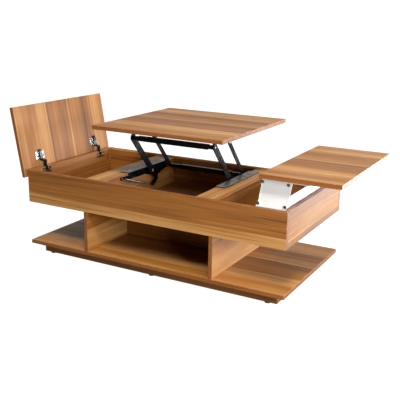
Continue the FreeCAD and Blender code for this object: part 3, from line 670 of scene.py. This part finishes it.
def sheet_piece(node, width, corner=0.0, segments=2):
    """A steel or moulded part with softened edges, and rounded corners where it has a radius."""
    form = merged(node)
    thin = thin_direction(form)
    if corner:
        round_corners(form, thin, corner)
    mesh = softened(form, node + "_part", width, segments)
    mark_rim(mesh, [abs(face.normal[thin]) for face in mesh.polygons])
    # only the upward faces of the base brackets are marked, to take the painted reflection
    painted_sheen = node.startswith("base_bracket")
    flange = [float(painted_sheen and face.normal.z > FLANGE_TOP) for face in mesh.polygons]
    mark_faces(mesh, "painted_sheen", flange)
    return place_piece(node + "_part", mesh, body_of(node), SLOTS[node], node)


def islands(node):
    """The separate solids of a node, each as its list of points."""
    form = merged(node)
    found = []
    seen = set()
    for first in form.verts:
        if first in seen:
            continue
        queue = [first]
        seen.add(first)
        points = []
        while queue:
            vertex = queue.pop()
            points.append(vertex.co.copy())
            for edge in vertex.link_edges:
                other = edge.other_vert(vertex)
                if other not in seen:
                    seen.add(other)
                    queue.append(other)
        found.append(points)
    form.free()
    return found


# ---- geometry node trees ----

def geometry_tree(name, inputs):
    """An empty geometry tree with named inputs, and the sockets at its two ends."""
    tree = bpy.data.node_groups.new(name, "GeometryNodeTree")
    tree.interface.new_socket("Geometry", in_out="INPUT", socket_type="NodeSocketGeometry")
    for label, kind in inputs:
        tree.interface.new_socket(label, in_out="INPUT", socket_type="NodeSocket" + kind)
    tree.interface.new_socket("Geometry", in_out="OUTPUT", socket_type="NodeSocketGeometry")
    return tree, tree.nodes.new("NodeGroupInput").outputs, tree.nodes.new("NodeGroupOutput").inputs


def run_tree(name, mesh, tree, values):
    """Run a geometry tree on a mesh with its inputs set, and return the plain result."""
    draft = bpy.data.objects.new(name, mesh)
    bpy.context.scene.collection.objects.link(draft)
    modifier = draft.modifiers.new(name, "NODES")
    modifier.node_group = tree
    for item in tree.interface.items_tree:
        if item.item_type == "SOCKET" and item.in_out == "INPUT" and item.name in values:
            modifier[item.identifier] = values[item.name]
    result = baked(draft)
    result.name = name
    return result


def head_template(name, recess):
    """A domed screw head of radius and height 1, with a cross recess."""
    form = bmesh.new()
    rings = [[ring] * HEAD_SIDES for ring in DOME_RINGS]
    # each quarter turn has six steps, three of them on an arm of the cross
    cross = [recess if step % 6 in (0, 1, 5) else recess * CROSS_WAIST
             for step in range(HEAD_SIDES)]
    rings.append([(radius, 1.0) for radius in cross])
    rings.append([(radius * RECESS_TAPER, RECESS_FLOOR) for radius in cross])
    rows = []
    for ring in rings:
        row = []
        for step, (radius, height) in enumerate(ring):
            turn = 2 * math.pi * step / HEAD_SIDES
            place = (radius * math.cos(turn), radius * math.sin(turn), height)
            row.append(form.verts.new(place))
        rows.append(row)
    for lower, upper in zip(rows, rows[1:]):
        for step in range(HEAD_SIDES):
            other = (step + 1) % HEAD_SIDES
            form.faces.new((lower[step], lower[other], upper[other], upper[step]))
    form.faces.new(rows[-1])
    form.faces.new(list(reversed(rows[0])))
    mesh = bpy.data.meshes.new(name)
    form.to_mesh(mesh)
    form.free()
    template = bpy.data.objects.new(name, mesh)
    bpy.context.scene.collection.objects.link(template)
    return template


def make_head_tree():
    """Screw heads on points: each is turned to face its direction and spun at random."""
    tree, given, out = geometry_tree("screw_heads", [
        ("Head", "Object"), ("Radius", "Float"), ("Height", "Float"), ("Seed", "Int"),
        ("Finish", "Material")])
    head = put(tree, "GeometryNodeObjectInfo", {"Object": given["Head"]})
    facing = put(tree, "GeometryNodeInputNamedAttribute", {"Name": "facing"},
                 data_type="FLOAT_VECTOR").outputs[0]
    upright = put(tree, "FunctionNodeAlignRotationToVector", {"Vector": facing},
                  axis="Z").outputs[0]
    # input 3 is the largest turn; a quarter turn brings the cross back onto itself
    spin = put(tree, "FunctionNodeRandomValue", {"Seed": given["Seed"], 3: math.pi / 2},
               data_type="FLOAT")
    axis_angle = put(tree, "FunctionNodeAxisAngleToRotation",
                     {"Axis": (0.0, 0.0, 1.0), "Angle": spin.outputs[1]}).outputs[0]
    turned = put(tree, "FunctionNodeRotateRotation", {0: upright, 1: axis_angle},
                 rotation_space="LOCAL").outputs[0]
    scale = put(tree, "ShaderNodeCombineXYZ",
                {0: given["Radius"], 1: given["Radius"], 2: given["Height"]}).outputs[0]
    points = put(tree, "GeometryNodeMeshToPoints", {"Mesh": given["Geometry"]}).outputs[0]
    placed = put(tree, "GeometryNodeInstanceOnPoints",
                 {"Points": points, "Instance": head.outputs["Geometry"], "Rotation": turned,
                  "Scale": scale}).outputs[0]
    real = put(tree, "GeometryNodeRealizeInstances", {0: placed}).outputs[0]
    made = put(tree, "GeometryNodeSetMaterial", {"Geometry": real, "Material": given["Finish"]})
    tree.links.new(made.outputs[0], out["Geometry"])
    return tree


def heads_piece(node, outward, recess=0.42, seed=1):
    """Domed heads of one size for every solid of a fastener node, facing out of its surface."""
    tree = bpy.data.node_groups.get("screw_heads") or make_head_tree()
    places = []
    for points in islands(node):
        centre = sum(points, Vector()) / len(points)
        direction = outward(centre).normalized()
        reach = [(point - centre).dot(direction) for point in points]
        height = max(reach) - min(reach)
        radius = max((point - centre - direction * along).length
                     for point, along in zip(points, reach))
        places.append((centre + direction * min(reach), direction))
    mesh = bpy.data.meshes.new(node + "_points")
    mesh.from_pydata([place for place, _ in places], [], [])
    layer = mesh.attributes.new("facing", "FLOAT_VECTOR", "POINT")
    for item, (_, direction) in zip(layer.data, places):
        item.vector = direction
    template = head_template(node + "_head", recess)
    finish = finish_of(SLOTS[node])
    heads = run_tree(node + "_heads", mesh, tree, {
        "Head": template, "Radius": radius, "Height": height, "Seed": seed, "Finish": finish})
    bpy.data.objects.remove(template)
    heads.shade_smooth()
    heads.set_sharp_from_angle(angle=HEAD_SHARP_ANGLE)
    mark_faces(heads, "rim", [0.0] * len(heads.polygons))
    return place_piece(node + "_heads", heads, body_of(node), SLOTS[node], node)


def make_spring_tree():
    """A wound pull spring along +Z: coil, two straight hooks and two eyes."""
    tree, given, out = geometry_tree("pull_spring", [
        ("Start", "Float"), ("Length", "Float"), ("Coil Radius", "Float"), ("Wire Radius", "Float"),
        ("Turns", "Float"), ("Span", "Float"), ("Eye Radius", "Float"), ("Finish", "Material")])
    wire = put(tree, "GeometryNodeCurvePrimitiveCircle",
               {"Resolution": 8, "Radius": given["Wire Radius"]}).outputs[0]
    centre_line = math_node(tree, "SUBTRACT", given["Coil Radius"], given["Wire Radius"])
    coil = put(tree, "GeometryNodeCurveSpiral", {
        "Resolution": 14, "Rotations": given["Turns"], "Start Radius": centre_line,
        "End Radius": centre_line, "Height": given["Length"]}).outputs[0]

    def raised(height):
        return put(tree, "ShaderNodeCombineXYZ", {2: height}).outputs[0]

    def moved(curve, place, turn=(0.0, 0.0, 0.0)):
        return put(tree, "GeometryNodeTransform",
                   {"Geometry": curve, "Translation": place, "Rotation": turn}).outputs[0]

    def hook(low, high):
        ends = {"Start": raised(low), "End": raised(high)}
        return put(tree, "GeometryNodeCurvePrimitiveLine", ends).outputs[0]

    eye = put(tree, "GeometryNodeCurvePrimitiveCircle",
              {"Resolution": 24, "Radius": given["Eye Radius"]}).outputs[0]
    across = (0.0, math.pi / 2, 0.0)
    coil_end = math_node(tree, "ADD", given["Start"], given["Length"])
    far_eye = math_node(tree, "SUBTRACT", given["Span"], given["Eye Radius"])
    near_hook_end = math_node(tree, "ADD", given["Start"], HOOK_OVERLAP)
    far_hook_start = math_node(tree, "SUBTRACT", coil_end, HOOK_OVERLAP)
    curves = [
        moved(coil, raised(given["Start"])), moved(eye, (0.0, 0.0, 0.0), across),
        moved(eye, raised(given["Span"]), across),
        hook(given["Eye Radius"], near_hook_end), hook(far_hook_start, far_eye)]
    joined = put(tree, "GeometryNodeJoinGeometry")
    for curve in curves:
        tree.links.new(curve, joined.inputs[0])
    swept = put(tree, "GeometryNodeCurveToMesh",
                {"Curve": joined.outputs[0], "Profile Curve": wire, "Fill Caps": True}).outputs[0]
    real = put(tree, "GeometryNodeRealizeInstances", {0: swept}).outputs[0]
    made = put(tree, "GeometryNodeSetMaterial", {"Geometry": real, "Material": given["Finish"]})
    tree.links.new(made.outputs[0], out["Geometry"])
    return tree


# ---- property groups ----

class TableSizes(bpy.types.PropertyGroup):
    """Sizes of the finish and of the view."""

    board_round: bpy.props.FloatProperty(
        name="Board edge", description="Radius of the softened edges of the boards",
        default=0.0009, unit="LENGTH")
    steel_round: bpy.props.FloatProperty(
        name="Steel edge", description="Radius of the softened edges of the steel parts",
        default=0.0005, unit="LENGTH")
    plate_corner: bpy.props.FloatProperty(
        name="Plate corner", description="Corner radius of the swing-out plates",
        default=0.007, unit="LENGTH")
    tube_round: bpy.props.FloatProperty(
        name="Tube edge", description="Radius of the long edges of the cross tubes",
        default=0.002, unit="LENGTH")
    wire_radius: bpy.props.FloatProperty(
        name="Spring wire", description="Radius of the pull spring's wire", default=0.0010,
        unit="LENGTH")
    camera_place: bpy.props.FloatVectorProperty(
        name="Camera", description="Where the camera stands", default=(1.4246, -2.4152, 1.0525),
        subtype="TRANSLATION")
    camera_heading: bpy.props.FloatProperty(
        name="Heading", description="Turn of the view to the left of +Y",
        default=math.radians(29.027), subtype="ANGLE")
    camera_pitch: bpy.props.FloatProperty(
        name="Pitch", description="How far the camera looks down",
        default=math.radians(15.808), subtype="ANGLE")
    camera_roll: bpy.props.FloatProperty(
        name="Roll", description="Turn of the camera about its own axis",
        default=math.radians(0.862), subtype="ANGLE")
    camera_lens: bpy.props.FloatProperty(
        name="Lens", description="Focal length in millimetres", default=61.8)


def colour_property(label, description, value):
    """A colour with a swatch."""
    return bpy.props.FloatVectorProperty(
        name=label, description=description, default=value, subtype="COLOR", min=0.0, max=1.0)


class TableColours(bpy.types.PropertyGroup):
    """Colours of the finishes."""

    board_dark: colour_property(
        "Dark grain", "Darkest streaks of the laminate", (0.105, 0.028, 0.003))
    board_middle: colour_property(
        "Middle grain", "Main tone of the laminate", (0.30, 0.114, 0.018))
    board_light: colour_property(
        "Light grain", "Palest planks of the laminate", (0.57, 0.315, 0.110))
    edge_dark: colour_property(
        "Dark edging", "Darker tone of the edging tape", (0.17, 0.048, 0.007))
    edge_light: colour_property(
        "Light edging", "Lighter tone of the edging tape", (0.29, 0.098, 0.018))
    black_paint: colour_property(
        "Black paint", "Paint of the raising mechanism", (0.0025, 0.0025, 0.003))
    white_paint: colour_property(
        "White paint", "Paint of the swing-out plates", (0.93, 0.95, 0.96))
    plating: colour_property(
        "Plating", "Bright plating of the hinges", (0.60, 0.59, 0.58))
    fastener: colour_property(
        "Fasteners", "Screws, bolts and cams", (0.40, 0.37, 0.31))
    spring: colour_property(
        "Springs", "Oiled steel of the pull springs", (0.22, 0.22, 0.23))
    glide: colour_property(
        "Glides", "Plastic glides under the plinth", (0.03, 0.025, 0.02))
    bumper: colour_property(
        "Bumpers", "Soft dots on the rim", (0.22, 0.10, 0.04))


# ---- operators ----

class TABLE_OT_tops(bpy.types.Operator):
    """Make the hinged lid, the raised middle top and the swung-out side top"""

    bl_idname = "table.tops"
    bl_label = "Three tops"

    def execute(self, context):
        for node, layout in TOP_BOARDS.items():
            board_piece(node, layout, context.scene.table_sizes.board_round)
        return {"FINISHED"}


class TABLE_OT_storage_box(bpy.types.Operator):
    """Make the walls, bottom, rails and partitions of the shallow box"""

    bl_idname = "table.storage_box"
    bl_label = "Storage box"

    def execute(self, context):
        for node, layout in BOX_BOARDS.items():
            board_piece(node, layout, context.scene.table_sizes.board_round)
        return {"FINISHED"}


class TABLE_OT_base(bpy.types.Operator):
    """Make the base panel, the dividers and the plinth"""

    bl_idname = "table.base"
    bl_label = "Base and dividers"

    def execute(self, context):
        for node, layout in BASE_BOARDS.items():
            board_piece(node, layout, context.scene.table_sizes.board_round)
        return {"FINISHED"}


class TABLE_OT_lift_steel(bpy.types.Operator):
    """Make the brackets, arms and cross tubes that raise the middle top"""

    bl_idname = "table.lift_steel"
    bl_label = "Raising mechanism"

    def execute(self, context):
        sizes = context.scene.table_sizes
        for node in LIFT_STEEL:
            if "tube" in node:
                share = 1.0 if "sleeve" in node else TUBE_END_SHARE
                sheet_piece(node, sizes.tube_round * share, segments=3)
            else:
                sheet_piece(node, sizes.steel_round)
        return {"FINISHED"}


class TABLE_OT_springs(bpy.types.Operator):
    """Wind the two pull springs between the base brackets and the tails of the front arms"""

    bl_idname = "table.springs"
    bl_label = "Pull springs"

    def execute(self, context):
        wire = context.scene.table_sizes.wire_radius
        anchor = Vector(JOINTS["spring_swing"]["pos_m"])
        along = Vector(JOINTS["spring_stretch"]["axis"]).normalized()
        tree = make_spring_tree()
        form = bmesh.new()
        for points in islands("spring_wires"):
            side = sum((point.x for point in points)) / len(points)
            tip = max((point - anchor).dot(along) for point in points)
            coil = next(group for group in islands("spring_coils") if group[0].x * side > 0)
            across = [point.x for point in coil]
            span = tip - EYE_TO_TIP
            length = span - COIL_START - COIL_TO_EYE
            mesh = run_tree("pull_spring_side", bpy.data.meshes.new("empty"), tree, {
                "Start": COIL_START, "Length": length, "Span": span,
                "Coil Radius": (max(across) - min(across)) / 2, "Wire Radius": wire,
                "Turns": length / (COIL_PITCH * wire), "Eye Radius": EYE_RADIUS,
                "Finish": finish_of("spring_steel")})
            place = Matrix.Translation(Vector((side, anchor.y, anchor.z)))
            mesh.transform(place @ along.to_track_quat("Z", "X").to_matrix().to_4x4())
            form.from_mesh(mesh)
            bpy.data.meshes.remove(mesh)
        bmesh.ops.recalc_face_normals(form, faces=form.faces)
        mesh = bpy.data.meshes.new("pull_springs")
        form.to_mesh(mesh)
        form.free()
        mesh.shade_smooth()
        mark_faces(mesh, "rim", [0.0] * len(mesh.polygons))
        piece = place_piece("pull_springs", mesh, None, "spring_steel",
                            "spring_coils", "spring_wires")
        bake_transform(piece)
        return {"FINISHED"}


class TABLE_OT_swing_steel(bpy.types.Operator):
    """Make the white plates, links and slides that carry the side top"""

    bl_idname = "table.swing_steel"
    bl_label = "Swing-out mechanism"

    def execute(self, context):
        sizes = context.scene.table_sizes
        for node in SIDE_STEEL:
            corner = sizes.plate_corner if node.startswith("side_plate") else 0.0
            sheet_piece(node, sizes.steel_round, corner)
        return {"FINISHED"}


class TABLE_OT_hinges(bpy.types.Operator):
    """Make the cups, arms and plates of the two lid hinges"""

    bl_idname = "table.hinges"
    bl_label = "Lid hinges"

    def execute(self, context):
        for node in HINGE_STEEL:
            sheet_piece(node, context.scene.table_sizes.steel_round)
        return {"FINISHED"}


class TABLE_OT_fasteners(bpy.types.Operator):
    """Make the screw heads, bolts, cams and pivot pins"""

    bl_idname = "table.fasteners"
    bl_label = "Fasteners"

    def execute(self, context):
        wall_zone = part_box("box_end_left")[1].x + WALL_SCREW_REACH
        down = Vector((0, 0, -1))
        opened = lid_closed().to_3x3().inverted()

        def from_wall_or_rail(centre):
            return Vector((1, 0, 0) if centre.x < wall_zone else (0, 0, 1))

        def outward_in_depth(centre):
            return Vector((0, math.copysign(1, centre.y), 0))

        def toward_middle(centre):
            return Vector((-math.copysign(1, centre.x), 0, 0))

        heads_piece("base_screws", from_wall_or_rail, seed=3)
        heads_piece("top_screws", lambda centre: down, seed=4)
        heads_piece("lid_screws", lambda centre: opened @ down, seed=5)
        heads_piece("plate_bolts", outward_in_depth, recess=0.36, seed=6)
        heads_piece("cam_locks", toward_middle, recess=0.5, seed=7)
        for node in PINS:
            sheet_piece(node, context.scene.table_sizes.steel_round)
        return {"FINISHED"}


class TABLE_OT_soft_parts(bpy.types.Operator):
    """Make the glides under the plinth and the soft dots on the rim"""

    bl_idname = "table.soft_parts"
    bl_label = "Glides and bumpers"

    def execute(self, context):
        sheet_piece("glides", GLIDE_ROUND, segments=3)
        sheet_piece("rim_bumpers", BUMPER_ROUND, segments=3)
        return {"FINISHED"}


class TABLE_OT_studio(bpy.types.Operator):
    """Set the pale floor, the soft lights and the camera"""

    bl_idname = "table.studio"
    bl_label = "Studio"

    def execute(self, context):
        self.make_floor()
        self.make_world(context.scene)
        for name, setting in LIGHTS.items():
            self.make_light(name, *setting)
        self.make_camera(context.scene)
        context.scene.view_settings.view_transform = "Standard"
        return {"FINISHED"}

    def make_floor(self):
        """A wide pale floor with a faint mottle."""
        form = bmesh.new()
        bmesh.ops.create_grid(form, x_segments=4, y_segments=4, size=FLOOR_SIZE)
        mesh = bpy.data.meshes.new("floor")
        form.to_mesh(mesh)
        form.free()
        floor = bpy.data.objects.new("floor", mesh)
        bpy.context.scene.collection.objects.link(floor)
        material, tree, shader, place = new_material("pale_floor")
        cloud = noise(tree, place, 2.0, detail=4.0, roughness=0.6)
        tree.links.new(mixed(tree, cloud, FLOOR_DARK, FLOOR_LIGHT), shader.inputs["Base Color"])
        shader.inputs["Roughness"].default_value = 0.9
        shader.inputs["Specular IOR Level"].default_value = 0.1
        seen = put(tree, "ShaderNodeLightPath").outputs["Is Camera Ray"]
        shader.inputs["Emission Color"].default_value = (*WHITE, 1.0)
        tree.links.new(math_node(tree, "MULTIPLY", seen, FLOOR_GLOW),
                       shader.inputs["Emission Strength"])
        mesh.materials.append(material)

    def make_world(self, scene):
        """White where it is seen; its light comes mostly from behind the table."""
        world = bpy.data.worlds.new("studio")
        world.use_nodes = True
        tree = world.node_tree
        place = tree.nodes.new("ShaderNodeTexCoord").outputs["Generated"]
        toward = put(tree, "ShaderNodeVectorMath", {0: place, 1: SKY_TOWARD},
                     operation="DOT_PRODUCT").outputs["Value"]
        level = spread(tree, toward, SKY_FROM, SKY_TO, SKY_DIM, SKY_BRIGHT)
        seen = put(tree, "ShaderNodeLightPath").outputs["Is Camera Ray"]
        strength = math_node(tree, "MAXIMUM", level, math_node(tree, "MULTIPLY", seen, SKY_SEEN))
        background = tree.nodes["Background"]
        tree.links.new(strength, background.inputs["Strength"])
        tree.links.new(mixed(tree, seen, SKY_TINT, WHITE), background.inputs["Color"])
        scene.world = world

    def make_light(self, name, place, target, size, power, colour):
        """A square soft light aimed at a point."""
        lamp = bpy.data.lights.new(name, "AREA")
        lamp.size = size
        lamp.energy = power
        lamp.color = colour
        light = bpy.data.objects.new(name, lamp)
        light.location = place
        light.rotation_mode = "QUATERNION"
        light.rotation_quaternion = (Vector(target) - Vector(place)).to_track_quat("-Z", "Y")
        bpy.context.scene.collection.objects.link(light)

    def make_camera(self, scene):
        """The view from the front right, a little above the tops."""
        sizes = scene.table_sizes
        heading, pitch, roll = sizes.camera_heading, sizes.camera_pitch, sizes.camera_roll
        ahead = Vector((-math.sin(heading) * math.cos(pitch), math.cos(heading) * math.cos(pitch),
                        -math.sin(pitch)))
        right = Vector((math.cos(heading), math.sin(heading), 0.0))
        up = right.cross(ahead)
        tilted_right = right * math.cos(roll) + up * math.sin(roll)
        tilted_up = up * math.cos(roll) - right * math.sin(roll)
        axes = Matrix((tilted_right, tilted_up, -ahead)).transposed()
        data = bpy.data.cameras.new("camera")
        data.lens = sizes.camera_lens
        data.sensor_width = 36.0
        data.clip_start = 0.05
        data.clip_end = 100.0
        camera = bpy.data.objects.new("camera", data)
        camera.matrix_world = Matrix.Translation(Vector(sizes.camera_place)) @ axes.to_4x4()
        scene.collection.objects.link(camera)
        scene.camera = camera


OPERATORS = (
    TABLE_OT_tops, TABLE_OT_storage_box, TABLE_OT_base, TABLE_OT_lift_steel, TABLE_OT_springs,
    TABLE_OT_swing_steel, TABLE_OT_hinges, TABLE_OT_fasteners, TABLE_OT_soft_parts, TABLE_OT_studio,
)


class TABLE_PT_panel(bpy.types.Panel):
    """The table's operators in the sidebar"""

    bl_idname = "TABLE_PT_panel"
    bl_label = "Coffee table"
    bl_space_type = "VIEW_3D"
    bl_region_type = "UI"
    bl_category = "Coffee table"

    def draw(self, context):
        for kind in OPERATORS:
            self.layout.operator(kind.bl_idname)


CLASSES = (TableSizes, TableColours, *OPERATORS, TABLE_PT_panel)


def register():
    """Register the classes and hang the settings on the scene."""
    for kind in CLASSES:
        bpy.utils.register_class(kind)
    bpy.types.Scene.table_sizes = bpy.props.PointerProperty(type=TableSizes)
    bpy.types.Scene.table_colours = bpy.props.PointerProperty(type=TableColours)


def unregister():
    """Undo register."""
    del bpy.types.Scene.table_colours
    del bpy.types.Scene.table_sizes
    for kind in reversed(CLASSES):
        bpy.utils.unregister_class(kind)


def main():
    """Make everything in order."""
    register()
    for kind in OPERATORS:
        family, name = kind.bl_idname.split(".")
        getattr(getattr(bpy.ops, family), name)()


if __name__ == "__main__":
    main()
